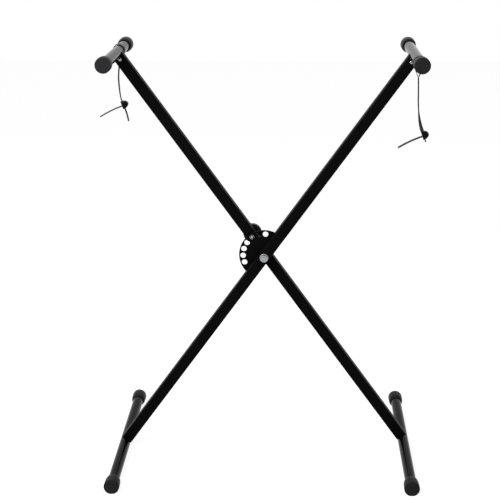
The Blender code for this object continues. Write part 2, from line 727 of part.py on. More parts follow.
def straps(front_leg, rear_leg):
    """Each strap hangs from its arm's axis, in a frame that stands upright whatever the leg's lean."""
    top = at(z=ARM_REACH)
    left_hang = empty("left_strap_hang", rear_leg, top @ Matrix.Rotation(LEG_LEAN, 4, "Y"))
    right_hang = empty("right_strap_hang", front_leg, top @ Matrix.Rotation(-LEG_LEAN, 4, "Y"))
    left = (LEFT_STRAP_Y, LEFT_PINCH_DROP, LEFT_LOOP_SLANT, 0.0, LEFT_BAND, LEFT_BAND_TURN)
    strap("left_strap", left_hang, *left, LEFT_END_LENGTH)
    right = (RIGHT_STRAP_Y, RIGHT_PINCH_DROP, 0.0, RIGHT_LOOP_LEAN, RIGHT_BAND, RIGHT_BAND_TURN)
    strap("right_strap", right_hang, *right, RIGHT_END_LENGTH)


# Assembly

FRONT_LEG = empty("front_leg_pivot", None, at(z=PIVOT_HEIGHT) @ Matrix.Rotation(LEG_LEAN, 4, "Y"))
REAR_LEG = empty("rear_leg_pivot", None, at(z=PIVOT_HEIGHT) @ Matrix.Rotation(-LEG_LEAN, 4, "Y"))
LOCK_AXIS = empty("lock_axis", REAR_LEG, at(z=HOLE_CIRCLE))

front_tube = half("front", FRONT_LEG, -LEG_CENTRE_Y, "right", "left")
rear_tube = half("rear", REAR_LEG, LEG_CENTRE_Y, "left", "right")
locking_plate(FRONT_LEG, front_tube)
pivot(FRONT_LEG, REAR_LEG)
lock(REAR_LEG, LOCK_AXIS, rear_tube)
straps(FRONT_LEG, REAR_LEG)
bpy.context.view_layer.update()
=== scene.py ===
"""Looks of an x-style keyboard stand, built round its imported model. Metres, +Z up, the front towards -Y."""

import json
import math

import bmesh
import bpy
from mathutils import Matrix, Vector


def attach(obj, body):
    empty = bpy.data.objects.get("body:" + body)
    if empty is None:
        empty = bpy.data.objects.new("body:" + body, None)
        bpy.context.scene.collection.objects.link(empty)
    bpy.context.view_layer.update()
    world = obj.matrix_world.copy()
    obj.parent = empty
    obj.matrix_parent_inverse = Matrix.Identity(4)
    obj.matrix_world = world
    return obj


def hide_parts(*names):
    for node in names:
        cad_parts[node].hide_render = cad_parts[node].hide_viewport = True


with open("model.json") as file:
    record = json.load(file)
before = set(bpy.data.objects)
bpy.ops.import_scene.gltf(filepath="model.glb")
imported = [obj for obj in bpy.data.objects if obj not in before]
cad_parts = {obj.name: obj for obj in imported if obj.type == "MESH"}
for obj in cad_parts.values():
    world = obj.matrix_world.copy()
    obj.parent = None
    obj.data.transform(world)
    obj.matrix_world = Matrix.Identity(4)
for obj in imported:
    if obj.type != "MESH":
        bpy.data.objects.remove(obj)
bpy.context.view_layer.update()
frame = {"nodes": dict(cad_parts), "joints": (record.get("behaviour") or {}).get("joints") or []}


# Studio and camera
# A white sweep, floor and background alike. One softbox stands in front of the stand, to its left and above
# its arms, so these are lit more than the feet. The camera looks down a little from the right.


def linear(code):
    """An sRGB hex colour as linear red, green, blue and alpha."""
    parts = [int(code[i : i + 2], 16) / 255 for i in (1, 3, 5)]
    return (*(p / 12.92 if p <= 0.04045 else ((p + 0.055) / 1.055) ** 2.4 for p in parts), 1.0)


def add(tree, kind, settings, links=()):
    """Adds a node, sets its properties and free inputs, and links other nodes' outputs to its inputs."""
    node = tree.nodes.new(kind)
    for key, value in settings.items():
        if isinstance(key, str) and hasattr(node, key):
            setattr(node, key, value)
        else:
            node.inputs[key].default_value = value
    for key, output in links:
        tree.links.new(output, node.inputs[key])
    return node


def seen_white(tree, plain, white):
    """Mixes the plain shader, for rays that only carry light, and the white one, for all that see it."""
    rays = add(tree, "ShaderNodeLightPath", {}).outputs
    most = {"operation": "MAXIMUM"}
    direct = add(tree, "ShaderNodeMath", most, [(0, rays["Is Camera Ray"]), (1, rays["Is Glossy Ray"])])
    seen = add(tree, "ShaderNodeMath", most, [(0, direct.outputs[0]), (1, rays["Is Transmission Ray"])])
    return add(tree, "ShaderNodeMixShader", {}, [(0, seen.outputs[0]), (1, plain), (2, white)])


world = bpy.data.worlds.new("studio")
bpy.context.scene.world = world
world.use_nodes = True
air = world.node_tree
air.nodes.clear()
sky = add(air, "ShaderNodeBackground", {"Color": linear("#FFFFFF"), "Strength": 0.12})
backdrop = add(air, "ShaderNodeBackground", {"Color": linear("#FFFFFF"), "Strength": 1.0})
shown = seen_white(air, sky.outputs[0], backdrop.outputs[0])
add(air, "ShaderNodeOutputWorld", {}, [("Surface", shown.outputs[0])])

# Matt white paper. The camera sees it almost evenly white, under faint shadows, and the stand gets grey
# light from it.
floor_paper = bpy.data.materials.new("white_paper")
floor_paper.use_nodes = True
paper = floor_paper.node_tree
paper.nodes.clear()
lit = add(paper, "ShaderNodeBsdfDiffuse", {"Color": linear("#A8A8A8")})
glow = add(paper, "ShaderNodeEmission", {"Color": linear("#FFFFFF"), "Strength": 0.93})
faint = add(paper, "ShaderNodeBsdfDiffuse", {"Color": linear("#AAAAAA")})
both = add(paper, "ShaderNodeAddShader", {}, [(0, glow.outputs[0]), (1, faint.outputs[0])])
shown = seen_white(paper, lit.outputs[0], both.outputs[0])
add(paper, "ShaderNodeOutputMaterial", {}, [("Surface", shown.outputs[0])])

# The floor lies just under the feet, so that they never share a plane.
FLOOR_SIDE, FLOOR_DROP = 12.0, 0.0005
bed = bmesh.new()
bmesh.ops.create_grid(bed, x_segments=1, y_segments=1, size=FLOOR_SIDE / 2)
floor_mesh = bpy.data.meshes.new("floor")
bed.to_mesh(floor_mesh)
bed.free()
floor_mesh.materials.append(floor_paper)
floor = bpy.data.objects.new("floor", floor_mesh)
floor.location.z = -FLOOR_DROP
bpy.context.scene.collection.objects.link(floor)

key = bpy.data.lights.new("key_softbox", "AREA")
key.shape = "RECTANGLE"
key.size = 1.2
key.size_y = 0.9
key.energy = 40.0
softbox = bpy.data.objects.new("key_softbox", key)
softbox.location = (-1.0, -1.5, 1.7)
softbox.rotation_euler = (Vector((0, 0, 0.8)) - softbox.location).to_track_quat("-Z", "Y").to_euler()
bpy.context.scene.collection.objects.link(softbox)

CAMERA_AT = Vector((0.0650, -2.4277, 1.1401))
PITCH, YAW, ROLL = (math.radians(a) for a in (16.300, 2.219, -0.207))
ahead = Vector((-math.sin(YAW) * math.cos(PITCH), math.cos(YAW) * math.cos(PITCH), -math.sin(PITCH)))
level = Vector((math.cos(YAW), math.sin(YAW), 0.0))
above = level.cross(ahead)
right = level * math.cos(ROLL) + above * math.sin(ROLL)
camera_data = bpy.data.cameras.new("camera")
camera_data.sensor_width = 36.0
camera_data.lens = 90.0
camera = bpy.data.objects.new("camera", camera_data)
axes = Matrix((right, right.cross(ahead), -ahead)).transposed()
camera.matrix_world = Matrix.Translation(CAMERA_AT) @ axes.to_4x4()
bpy.context.scene.collection.objects.link(camera)
bpy.context.scene.camera = camera
bpy.context.scene.view_settings.view_transform = "Standard"


# Legs
# Two lengths of 22 mm square steel tube with 1.5 mm walls, crossed on the pivot bolt, the one with the
# plate in front. Each end is notched to the round tube that sits in it, and both are powder coated.

PIVOT = Vector(next(j for j in frame["joints"] if j["name"] == "fold")["pos_m"])
LEAN = math.radians(35.7)
FRONT = Matrix.Translation(PIVOT) @ Matrix.Rotation(LEAN, 4, "Y")
REAR = Matrix.Translation(PIVOT) @ Matrix.Rotation(-LEAN, 4, "Y")
LEG_SIDE, LEG_CORNER, LEG_WALL, LEG_MIDDLE_Y = 0.022, 0.0028, 0.0015, 0.01565
ARM_REACH, FOOT_REACH, TUBE_RADIUS, HORN_DROP, CLEARANCE = 0.497, 0.501, 0.011, 0.0045, 0.0003


def dielectric(name, slot, roughness, specular):
    """A material whose output is one shader, named for its finish and tied to the record's slot."""
    made = bpy.data.materials.new(name)
    made.use_nodes = True
    made["slot"] = slot
    shader = made.node_tree.nodes["Principled BSDF"]
    shader.inputs["Roughness"].default_value = roughness
    shader.inputs["Specular IOR Level"].default_value = specular
    return made, made.node_tree, shader


def patches(tree, size, detail, roughness=0.5):
    """Noise in patches of a size in metres, that stays with the piece."""
    local = add(tree, "ShaderNodeTexCoord", {}).outputs["Object"]
    shape = {"Scale": 1 / size, "Detail": detail, "Roughness": roughness}
    return add(tree, "ShaderNodeTexNoise", shape, [("Vector", local)]).outputs["Fac"]


def tone(tree, shader, pattern, dark, light):
    """Colours the shader from dark to light along a pattern."""
    # Inputs 6 and 7 of a Mix node are its two colours, and output 2 is their mix.
    ends = {"data_type": "RGBA", 6: linear(dark), 7: linear(light)}
    mixed = add(tree, "ShaderNodeMix", ends, [("Factor", pattern)])
    tree.links.new(mixed.outputs[2], shader.inputs["Base Color"])


def gloss(tree, shader, pattern, low, high):
    """Spreads the shader's roughness from low to high along a pattern."""
    spread = add(tree, "ShaderNodeMapRange", {"To Min": low, "To Max": high}, [("Value", pattern)])
    tree.links.new(spread.outputs["Result"], shader.inputs["Roughness"])


def relief(tree, shader, pattern, strength, distance):
    """Bumps the shader's surface by a pattern, a distance in metres high."""
    settings = {"Strength": strength, "Distance": distance}
    bumped = add(tree, "ShaderNodeBump", settings, [("Height", pattern)])
    tree.links.new(bumped.outputs["Normal"], shader.inputs["Normal"])


def powder_coat(name, roughness, specular):
    """Baked black powder coat with an orange peel 1.5 mm across and dust that greys it in 35 mm patches."""
    coat, tree, shader = dielectric(name, "black_paint", roughness, specular)
    dust = patches(tree, 0.035, 4.0, 0.6)
    tone(tree, shader, dust, "#080809", "#0F0F10")
    gloss(tree, shader, dust, roughness * 0.75, roughness * 1.25)
    relief(tree, shader, patches(tree, 0.0015, 2.0), 0.35, 0.00004)
    return coat


# The legs and the plate are matt. The arms and feet are satin, and shine in streaks along their length.
matt_coat = powder_coat("matt_black_powder_coat", 0.42, 0.02)
satin_coat = powder_coat("satin_black_powder_coat", 0.1, 0.038)


def skinned(rings, closed=False):
    """Quads between neighbouring rings of points. A ring of one point closes an end."""
    built = bmesh.new()
    rows = [[built.verts.new(p) for p in ring] for ring in rings]
    steps = max(len(row) for row in rows)
    for a, b in zip(rows, rows[1:] + rows[:1] if closed else rows[1:]):
        for i in range(steps):
            j = (i + 1) % steps
            corners = (a[i % len(a)], a[j % len(a)], b[j % len(b)], b[i % len(b)])
            built.faces.new(dict.fromkeys(corners))
    return built


def fit(built, name, place, finish, body, *stands_for):
    """Makes a piece of a bmesh in its place, on its body, and lets it stand for CAD solids."""
    built.transform(place)
    bmesh.ops.recalc_face_normals(built, faces=built.faces)
    mesh = bpy.data.meshes.new(name)
    built.to_mesh(mesh)
    built.free()
    mesh.shade_smooth()
    mesh.set_sharp_from_angle(angle=math.radians(32))
    mesh.materials.append(finish)
    piece = bpy.data.objects.new(name, mesh)
    bpy.context.scene.collection.objects.link(piece)
    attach(piece, body)
    if stands_for:
        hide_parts(*stands_for)
    return piece


def square_loop(side, corner, along=10, round_steps=6):
    """A square outline with round corners, and points along its sides."""
    points = []
    inset = side / 2 - corner
    for quarter, (sx, sy) in enumerate(((1, 1), (-1, 1), (-1, -1), (1, -1))):
        for i in range(round_steps + 1):
            angle = math.pi / 2 * (quarter + i / round_steps)
            points.append((sx * inset + corner * math.cos(angle), sy * inset + corner * math.sin(angle)))
        x, y = points[-1]
        step = -2 * inset / along
        step_x, step_y = (0.0, step * sy) if quarter % 2 else (step * sx, 0.0)
        points += [(x + step_x * i, y + step_y * i) for i in range(1, along)]
    return points


def notched(x, y, end, reach):
    """The height of a leg's end over (x, y): a flat end cut by the round tube."""
    radius = TUBE_RADIUS + CLEARANCE
    up = 1 if reach > 0 else -1
    if abs(x) >= radius:
        return end
    return up * min(up * end, up * reach - math.sqrt(radius * radius - x * x))


for name, place, y, body in (
    ("front", FRONT, -LEG_MIDDLE_Y, "front_leg"),
    ("rear", REAR, LEG_MIDDLE_Y, "rear_leg"),
):
    outer = square_loop(LEG_SIDE, LEG_CORNER)
    inner = square_loop(LEG_SIDE - 2 * LEG_WALL, LEG_CORNER - LEG_WALL)
    ends = ((-FOOT_REACH + HORN_DROP, -FOOT_REACH), (ARM_REACH - HORN_DROP, ARM_REACH))
    rings = []
    for loop, order in ((outer, ends), (inner, ends[::-1])):
        rings += [[(px, y + py, notched(px, py, end, reach)) for px, py in loop] for end, reach in order]
    fit(skinned(rings, closed=True), name + "_leg", place, matt_coat, body, name + "_leg_tube")


# Spigots and their screws
# A short square tube is welded under each round tube, slips into the leg's end and is held by one pan-head
# screw, from the front at the arms and from the back at the feet. Both are bright zinc plated.

SCREW_RADIUS, SCREW_HEAD, HEAD_ROUNDING, SCREW_SETBACK = 0.0030, 0.0018, 0.85, 0.0144
SHANK_RADIUS, SHANK_LENGTH, RECESS_REACH, RECESS_WIDTH, RECESS_DEPTH = 0.0021, 0.004, 0.0021, 0.0008, 0.0009
TO_FRONT = Matrix.Rotation(math.pi / 2, 4, "X")
TO_BACK = Matrix.Rotation(-math.pi / 2, 4, "X")

# Bright zinc plate with a clear passivate: light blue-grey metal. A fine grain, left by the wire and sheet
# under it, blurs reflections.
bright_zinc, tree, shader = dielectric("bright_zinc_plate", "bright_zinc", 0.3, 0.5)
shader.inputs["Metallic"].default_value = 1.0
cloud = patches(tree, 0.006, 3.0)
tone(tree, shader, cloud, "#8A8D90", "#B2B5B8")
gloss(tree, shader, cloud, 0.2, 0.36)
relief(tree, shader, patches(tree, 0.0004, 2.0), 0.2, 0.00002)


def dome(radius, height, base, steps):
    """Points (radius, height) of a low dome, from its top to its edge."""
    angles = [math.pi / 2 * i / steps for i in range(steps + 1)]
    return [(radius * math.sin(a), base + height * math.cos(a)) for a in angles]


def turned(profile, steps=64):
    """Rings of a profile of (radius, height) points turned round Z."""
    rings = []
    for radius, height in profile:
        around = steps if radius > 0.00001 else 1
        turn = [math.tau * i / around for i in range(around)]
        rings.append([(radius * math.cos(a) * (around > 1), radius * math.sin(a), height) for a in turn])
    return rings


def cross_cut(built, reach, width, depth, top):
    """Presses a cross recess into a screw's head: faces that lie in the cross go down."""
    for vert in built.verts:
        along, across = sorted((abs(vert.co.x), abs(vert.co.y)), reverse=True)
        if vert.co.z > top and along < reach and across < width / 2:
            vert.co.z -= depth


for leg, place, y, arm, foot in (
    ("front_leg", FRONT, -LEG_MIDDLE_Y, "right_arm", "left_foot"),
    ("rear_leg", REAR, LEG_MIDDLE_Y, "left_arm", "right_foot"),
):
    for end, reach, facing, turn in ((arm, ARM_REACH, -1, TO_FRONT), (foot, -FOOT_REACH, 1, TO_BACK)):
        height = reach - math.copysign(SCREW_SETBACK, reach)
        face = y + facing * (LEG_SIDE / 2 + CLEARANCE)
        rims = [step * SCREW_RADIUS / 9 for step in range(10)]
        profile = [(r, SCREW_HEAD * math.sqrt(1 - HEAD_ROUNDING * (r / SCREW_RADIUS) ** 2)) for r in rims]
        profile += [(SCREW_RADIUS, 0.0), (SHANK_RADIUS, 0.0)]
        profile += [(SHANK_RADIUS, -SHANK_LENGTH), (0.0, -SHANK_LENGTH)]
        head = skinned(turned(profile, 48))
        cross_cut(head, RECESS_REACH, RECESS_WIDTH, RECESS_DEPTH, SCREW_HEAD / 2)
        seat = place @ Matrix.Translation((0.0, face, height)) @ turn
        fit(head, end + "_screw", seat, bright_zinc, leg, end + "_spigot_screw")
        frame["nodes"][end + "_spigot"].data.materials[0] = bright_zinc


# Arms and feet
# Four lengths of 22 mm round steel tube across the legs' ends, powder coated in satin black: short arms on
# top that carry the keyboard, and longer feet on the floor.

ARM_LENGTH, FOOT_LENGTH, FOOT_SHIFT, TUBE_WALL, CAP_FLOOR = 0.325, 0.457, 0.0044, 0.0015, 0.003

ROUND_TUBES = (
    ("right_arm", "front_leg", FRONT, ARM_REACH, ARM_LENGTH, 0.0),
    ("left_foot", "front_leg", FRONT, -FOOT_REACH, FOOT_LENGTH, -FOOT_SHIFT),
    ("left_arm", "rear_leg", REAR, ARM_REACH, ARM_LENGTH, 0.0),
    ("right_foot", "rear_leg", REAR, -FOOT_REACH, FOOT_LENGTH, FOOT_SHIFT),
)

for end, leg, place, reach, length, middle in ROUND_TUBES:
    half = length / 2 - CAP_FLOOR - CLEARANCE
    bore = TUBE_RADIUS - TUBE_WALL
    profile = [(TUBE_RADIUS, half), (TUBE_RADIUS, -half), (bore, -half), (bore, half)]
    seat = place @ Matrix.Translation((0.0, middle, reach)) @ TO_BACK
    tube = skinned(turned(profile, 96), closed=True)
    fit(tube, end + "_round_tube", seat, satin_coat, leg, end + "_tube")


# End boots
# Eight moulded black rubber boots, pushed over the ends of the round tubes: thick at the closed end, with a
# long rounded shoulder down to the mouth. The ones on the feet are worn flat where they stand.

CAP_RADIUS, CAP_LENGTH, CAP_SHOULDER, CAP_EDGE = 0.0152, 0.032, 0.018, 0.0014
CAP_BORE, CAP_MOUTH, MOUTH_LIP = 0.0113, 0.0122, 0.0004
MOULD_RING, RING_DEPTH, RING_WIDTH = 0.0047, 0.0003, 0.0014

# Moulded rubber: charcoal rather than black, matt, with a fine speckle from the blasted mould and a little
# bloom that greys it in patches of 12 mm.
moulded_rubber, tree, shader = dielectric("moulded_black_rubber", "black_rubber", 0.38, 0.035)
tone(tree, shader, patches(tree, 0.012, 4.0, 0.6), "#242425", "#333335")
relief(tree, shader, patches(tree, 0.0006, 2.0), 0.3, 0.00005)


def corner(radius, height, fillet, start, end, steps=5):
    """Points of a rounded edge whose fillet is centred at (radius, height), in degrees from the radius."""
    turn = [math.radians(start + (end - start) * i / steps) for i in range(steps + 1)]
    return [(radius + fillet * math.cos(a), height + fillet * math.sin(a)) for a in turn]


def groove(radius, depth, width, base):
    """Points, from the inside out, across a round groove with sloping sides and a floor 0.6 mm wide."""
    floor = 0.0003
    low = [(radius - floor, base - depth), (radius + floor, base - depth)]
    return [(radius - width / 2, base), *low, (radius + width / 2, base)]


outline = [(0.0, 0.0), *groove(MOULD_RING, RING_DEPTH, RING_WIDTH, 0.0)]
outline += corner(CAP_RADIUS - CAP_EDGE, -CAP_EDGE, CAP_EDGE, 90, 0)
for i in range(13):
    angle = math.pi / 2 * i / 12
    radius = CAP_MOUTH + (CAP_RADIUS - CAP_MOUTH) * math.cos(angle)
    outline.append((radius, CAP_SHOULDER - CAP_LENGTH - (CAP_SHOULDER - MOUTH_LIP) * math.sin(angle)))
outline += [(CAP_MOUTH - MOUTH_LIP, -CAP_LENGTH), (CAP_BORE, -CAP_LENGTH)]
outline += [(CAP_BORE, -CAP_FLOOR), (0.0, -CAP_FLOOR)]

for end, leg, place, reach, length, middle in ROUND_TUBES:
    for side, turn, y in (("front", TO_FRONT, middle - length / 2), ("back", TO_BACK, middle + length / 2)):
        seat = place @ Matrix.Translation((0.0, y, reach)) @ turn
        boot = skinned(turned(outline, 96))
        for vert in boot.verts:
            spot = seat @ vert.co
            if spot.z < 0.0:
                vert.co = seat.inverted() @ Vector((spot.x, spot.y, 0.0))
        fit(boot, f"{end}_{side}_boot", seat, moulded_rubber, leg, f"{end}_{side}_cap")


# Locking plate and rivets
# A half disc of 3 mm sheet behind the front leg, punched with seven holes for the pin and painted with the
# leg. Two zinc-plated rivets hold it.

HOLE_CIRCLE, HOLE_RADIUS, PLATE_RADIUS, PLATE_THICKNESS, PLATE_OVERLAP = 0.043, 0.00565, 0.051, 0.003, 0.008
PLATE_MIDDLE_Y, PIN_PLAY, HOLE_PITCH, PUNCH_EDGE = -0.00285, math.radians(0.8), math.radians(19.14), 0.0003
BEHIND_PLATE_Y = PLATE_MIDDLE_Y + PLATE_THICKNESS / 2 + CLEARANCE
BORE_RADIUS, RIVET_REACH, RIVET_RADIUS, RIVET_END_Y = 0.0043, 0.024, 0.002, -0.0082
RIVET_HEAD_RADIUS, RIVET_HEAD_HEIGHT, WELD_DISTANCE = 0.0035, 0.0015, 0.000002


def ring_points(radius, steps, x=0.0, y=0.0, start=0.0, sweep=math.tau, ends=0):
    """Points round a circle, or along an arc of it, whose last point is kept where ends is 1."""
    turn = [start + sweep * i / steps for i in range(steps + ends)]
    return [(x + radius * math.cos(a), y + radius * math.sin(a)) for a in turn]


edge = math.acos(PLATE_OVERLAP / PLATE_RADIUS)
outlines = [ring_points(PLATE_RADIUS, 72, start=edge, sweep=math.tau - 2 * edge, ends=1)]
outlines.append(ring_points(BORE_RADIUS, 32))
for hole in range(-2, 5):  # hole 0 is the one at the pin
    angle = 2 * LEAN - PIN_PLAY + hole * HOLE_PITCH
    x, y = -HOLE_CIRCLE * math.sin(angle), HOLE_CIRCLE * math.cos(angle)
    outlines.append(ring_points(HOLE_RADIUS, 40, x, y))
sheet = bpy.data.curves.new("plate_outline", "CURVE")
sheet.dimensions = "2D"
sheet.fill_mode = "BOTH"
sheet.extrude = PLATE_THICKNESS / 2 - PUNCH_EDGE
sheet.bevel_depth = PUNCH_EDGE
sheet.bevel_resolution = 2
sheet.offset = -PUNCH_EDGE
for outline in outlines:
    spline = sheet.splines.new("POLY")
    spline.points.add(len(outline) - 1)
    spline.use_cyclic_u = True
    for point, (x, y) in zip(spline.points, outline):
        point.co = (x, y, 0.0, 1.0)
pattern = bpy.data.objects.new("plate_outline", sheet)
bpy.context.scene.collection.objects.link(pattern)
bpy.context.view_layer.update()
punched = bmesh.new()
flat_sheet = pattern.evaluated_get(bpy.context.evaluated_depsgraph_get())
punched.from_mesh(bpy.data.meshes.new_from_object(flat_sheet))
bpy.data.objects.remove(pattern)
bmesh.ops.remove_doubles(punched, verts=punched.verts, dist=WELD_DISTANCE)
seat = FRONT @ Matrix.Translation((0.0, PLATE_MIDDLE_Y, 0.0)) @ TO_FRONT
fit(punched, "punched_plate", seat, matt_coat, "front_leg", "locking_plate")

for word, height in (("upper", RIVET_REACH), ("lower", -RIVET_REACH)):
    profile = dome(RIVET_HEAD_RADIUS, RIVET_HEAD_HEIGHT, BEHIND_PLATE_Y, 8)
    profile += [(RIVET_RADIUS, BEHIND_PLATE_Y), (RIVET_RADIUS, RIVET_END_Y), (0.0, RIVET_END_Y)]
    rivet = skinned(turned(profile, 40))
    seat = FRONT @ Matrix.Translation((0.0, 0.0, height)) @ TO_BACK
    fit(rivet, word + "_rivet", seat, bright_zinc, "front_leg", "plate_rivet_" + word)


# Pivot
# An M8 bolt through both legs, with its nut in front, a washer on each side, a white nylon spacer between
# the plate and the rear leg, and a steel crush bush inside each leg.

STACK, BOLT_RADIUS, BOLT_END, BOLT_CHAMFER = 0.02885, 0.004, 0.0008, 0.0008
THREAD_START, THREAD_PITCH, THREAD_FLANK, THREAD_DEPTH, THREAD_END = 0.0012, 0.00125, 0.0006, 0.00045, 0.013
ACROSS_FLATS, NUT_HEIGHT, HEAD_HEIGHT = 0.013, 0.0065, 0.0053
WASHER_RADIUS, WASHER_THICKNESS, WASHER_EDGE = 0.0085, 0.0016, 0.0004
SPACER_RADIUS, SPACER_EDGE = 0.012, 0.0004


def hexagon(height, hole):
    """A hexagon whose outer corners are turned down by a 30 degree chamfer, with a hole or a closed top."""
    flats = ACROSS_FLATS / 2
    steps = 72
    rings = []
    # Each ring's level, and how much of a corner's reach is left there
    for level, limit in ((0.0, 1.0), (height - 0.0011, 1.0), (height - 0.0006, 0.955), (height, 0.9)):
        ring = []
        for i in range(steps):
            angle = math.tau * i / steps
            away = (angle + math.pi / 6) % (math.pi / 3) - math.pi / 6
            radius = min(flats / math.cos(away), flats / math.cos(math.pi / 6) * limit)
            ring.append((radius * math.cos(angle), radius * math.sin(angle), level))
        rings.append(ring)
    if not hole:
        return skinned([[(0.0, 0.0, 0.0)], *rings, [(0.0, 0.0, height)]])
    bore = turned([(hole, height), (hole, 0.0)], steps)
    return skinned(rings + bore, closed=True)


seat = FRONT @ Matrix.Translation((0.0, -STACK, 0.0)) @ TO_FRONT
fit(hexagon(NUT_HEIGHT, BORE_RADIUS), "nut", seat, bright_zinc, "front_leg", "pivot_nut")
seat = FRONT @ Matrix.Translation((0.0, STACK, 0.0)) @ TO_BACK
fit(hexagon(HEAD_HEIGHT, 0.0), "bolt_head", seat, bright_zinc, "front_leg", "pivot_bolt")
end = STACK + NUT_HEIGHT + BOLT_END
profile = [(0.0, end), (BOLT_RADIUS - BOLT_CHAMFER, end), (BOLT_RADIUS, end - BOLT_CHAMFER)]
for turn in range(9):
    crest = end - THREAD_START - turn * THREAD_PITCH
    profile += [(BOLT_RADIUS, crest), (BOLT_RADIUS - THREAD_DEPTH, crest - THREAD_FLANK)]
profile += [(BOLT_RADIUS, end - THREAD_END), (BOLT_RADIUS, -STACK), (0.0, -STACK)]
fit(skinned(turned(profile, 48)), "bolt_shank", FRONT @ TO_FRONT, bright_zinc, "front_leg")
for side, turn in (("front", TO_FRONT), ("back", TO_BACK)):
    face = STACK - CLEARANCE
    profile = [(BORE_RADIUS, face - WASHER_THICKNESS), (WASHER_RADIUS, face - WASHER_THICKNESS)]
    profile += corner(WASHER_RADIUS - WASHER_EDGE, face - WASHER_EDGE, WASHER_EDGE, 0, 90, 3)
    profile.append((BORE_RADIUS, face))
    washer = skinned(turned(profile, 64), closed=True)
    fit(washer, side + "_washer", FRONT @ turn, bright_zinc, "front_leg", f"pivot_{side}_washer")


def bands(tree, direction, pitch, over):
    """Even bands along X, Y or Z of the coordinates that they lie over, at a pitch in metres."""
    # At scale 1 the bands of a Wave texture are 0.314 m apart.
    settings = {"bands_direction": direction, "Scale": 0.314 / pitch}
    return add(tree, "ShaderNodeTexWave", settings, [("Vector", over)]).outputs["Fac"]


# Turned white nylon, slightly translucent and waxy, with faint tool rings 0.4 mm apart.
white_nylon, tree, shader = dielectric("turned_white_nylon", "white_nylon", 0.45, 0.5)
shader.inputs["Subsurface Weight"].default_value = 0.1
local = add(tree, "ShaderNodeTexCoord", {}).outputs["Object"]
tone(tree, shader, bands(tree, "Z", 0.0004, local), "#C4C2BA", "#CECCC5")
near, far = BEHIND_PLATE_Y, LEG_MIDDLE_Y - LEG_SIDE / 2 - CLEARANCE
profile = [(BORE_RADIUS, near), (SPACER_RADIUS - SPACER_EDGE, near), (SPACER_RADIUS, near + SPACER_EDGE)]
profile += [(SPACER_RADIUS, far - SPACER_EDGE), (SPACER_RADIUS - SPACER_EDGE, far), (BORE_RADIUS, far)]
spacer = skinned(turned(profile, 72), closed=True)
fit(spacer, "spacer", FRONT @ TO_BACK, white_nylon, "front_leg", "pivot_spacer")
for bush in ("front_leg_bush", "rear_leg_bush"):
    frame["nodes"][bush].data.materials[0] = bright_zinc


# Spring pin
# A 10 mm plated pin slides in a flanged sleeve in the rear leg's back wall. A coil spring round it pushes
# its domed tip to the plate, and a moulded black knob behind the leg pulls it out.

PIN_RADIUS, PIN_DOME, PIN_BORE, SLEEVE_RADIUS = 0.005, 0.0035, 0.0053, 0.007
FLANGE_RADIUS, FLANGE_EDGE, FLANGE_EASE = 0.01, 0.0004, 0.00035
GROOVE_RADIUS, GROOVE_DEPTH, GROOVE_WIDTH = 0.0117, 0.0006, 0.0016
FLUTES, FLUTE_DEPTH, FLUTE_BAND, KNOB_EDGE = 20, 0.0005, 0.0012, 0.0014
KNOB_FRONT, KNOB_LENGTH, KNOB_FLOOR, KNOB_RADIUS, KNOB_ROUNDING = 0.03025, 0.014, 0.003, 0.019, 0.003
LOCK = REAR @ Matrix.Translation((0.0, 0.0, HOLE_CIRCLE)) @ TO_BACK

# Moulded ABS: satin black, with the fine spark texture of its mould.
moulded_abs, tree, shader = dielectric("moulded_black_abs", "black_plastic", 0.3, 0.06)
spark = patches(tree, 0.0007, 3.0)
tone(tree, shader, spark, "#070708", "#0E0E0F")
relief(tree, shader, spark, 0.25, 0.00004)

back = KNOB_FRONT + KNOB_LENGTH
bottom = back - KNOB_FLOOR
profile = [(r, BEHIND_PLATE_Y + PIN_DOME - h) for r, h in dome(PIN_RADIUS, PIN_DOME, 0.0, 8)]
profile += [(PIN_RADIUS, bottom - CLEARANCE), (0.0, bottom - CLEARANCE)]
fit(skinned(turned(profile, 48)), "pin", LOCK, bright_zinc, "lock", "lock_pin")
outside = LEG_MIDDLE_Y + LEG_SIDE / 2
inside, near, far = outside - LEG_WALL, outside + CLEARANCE, KNOB_FRONT - CLEARANCE
profile = [(PIN_BORE, inside), (SLEEVE_RADIUS, inside), (SLEEVE_RADIUS, near)]
profile += [(FLANGE_RADIUS - FLANGE_EDGE, near), (FLANGE_RADIUS, near + FLANGE_EASE)]
profile += [(FLANGE_RADIUS, far - FLANGE_EASE), (FLANGE_RADIUS - FLANGE_EDGE, far), (PIN_BORE, far)]
fit(skinned(turned(profile, 64), closed=True), "sleeve", LOCK, bright_zinc, "rear_leg", "lock_sleeve")
profile = [(0.0, bottom), (PIN_BORE, bottom), (PIN_BORE, KNOB_FRONT)]
profile += corner(KNOB_RADIUS - KNOB_EDGE, KNOB_FRONT + KNOB_EDGE, KNOB_EDGE, -90, 0)
profile += corner(KNOB_RADIUS - KNOB_ROUNDING, back - KNOB_ROUNDING, KNOB_ROUNDING, 0, 90, 8)
profile += [*reversed(groove(GROOVE_RADIUS, GROOVE_DEPTH, GROOVE_WIDTH, back)), (0.0, back)]
knob = skinned(turned(profile, 120))
for vert in knob.verts:
    reach = math.hypot(vert.co.x, vert.co.y)
    if reach > KNOB_RADIUS - FLUTE_BAND:
        angle = math.atan2(vert.co.y, vert.co.x)
        dip = FLUTE_DEPTH * max(0.0, math.cos(FLUTES * angle)) ** 2
        vert.co.x -= dip * math.cos(angle)
        vert.co.y -= dip * math.sin(angle)
fit(knob, "pull_knob", LOCK, moulded_abs, "lock", "lock_knob")
frame["nodes"]["lock_spring"].data.materials[0] = bright_zinc


# Straps
# Each arm carries 8 mm woven nylon webbing, looped round the tube and doubled below it. It ends in a small
# moulded strap lock with a tail to the left and a short loose end underneath.

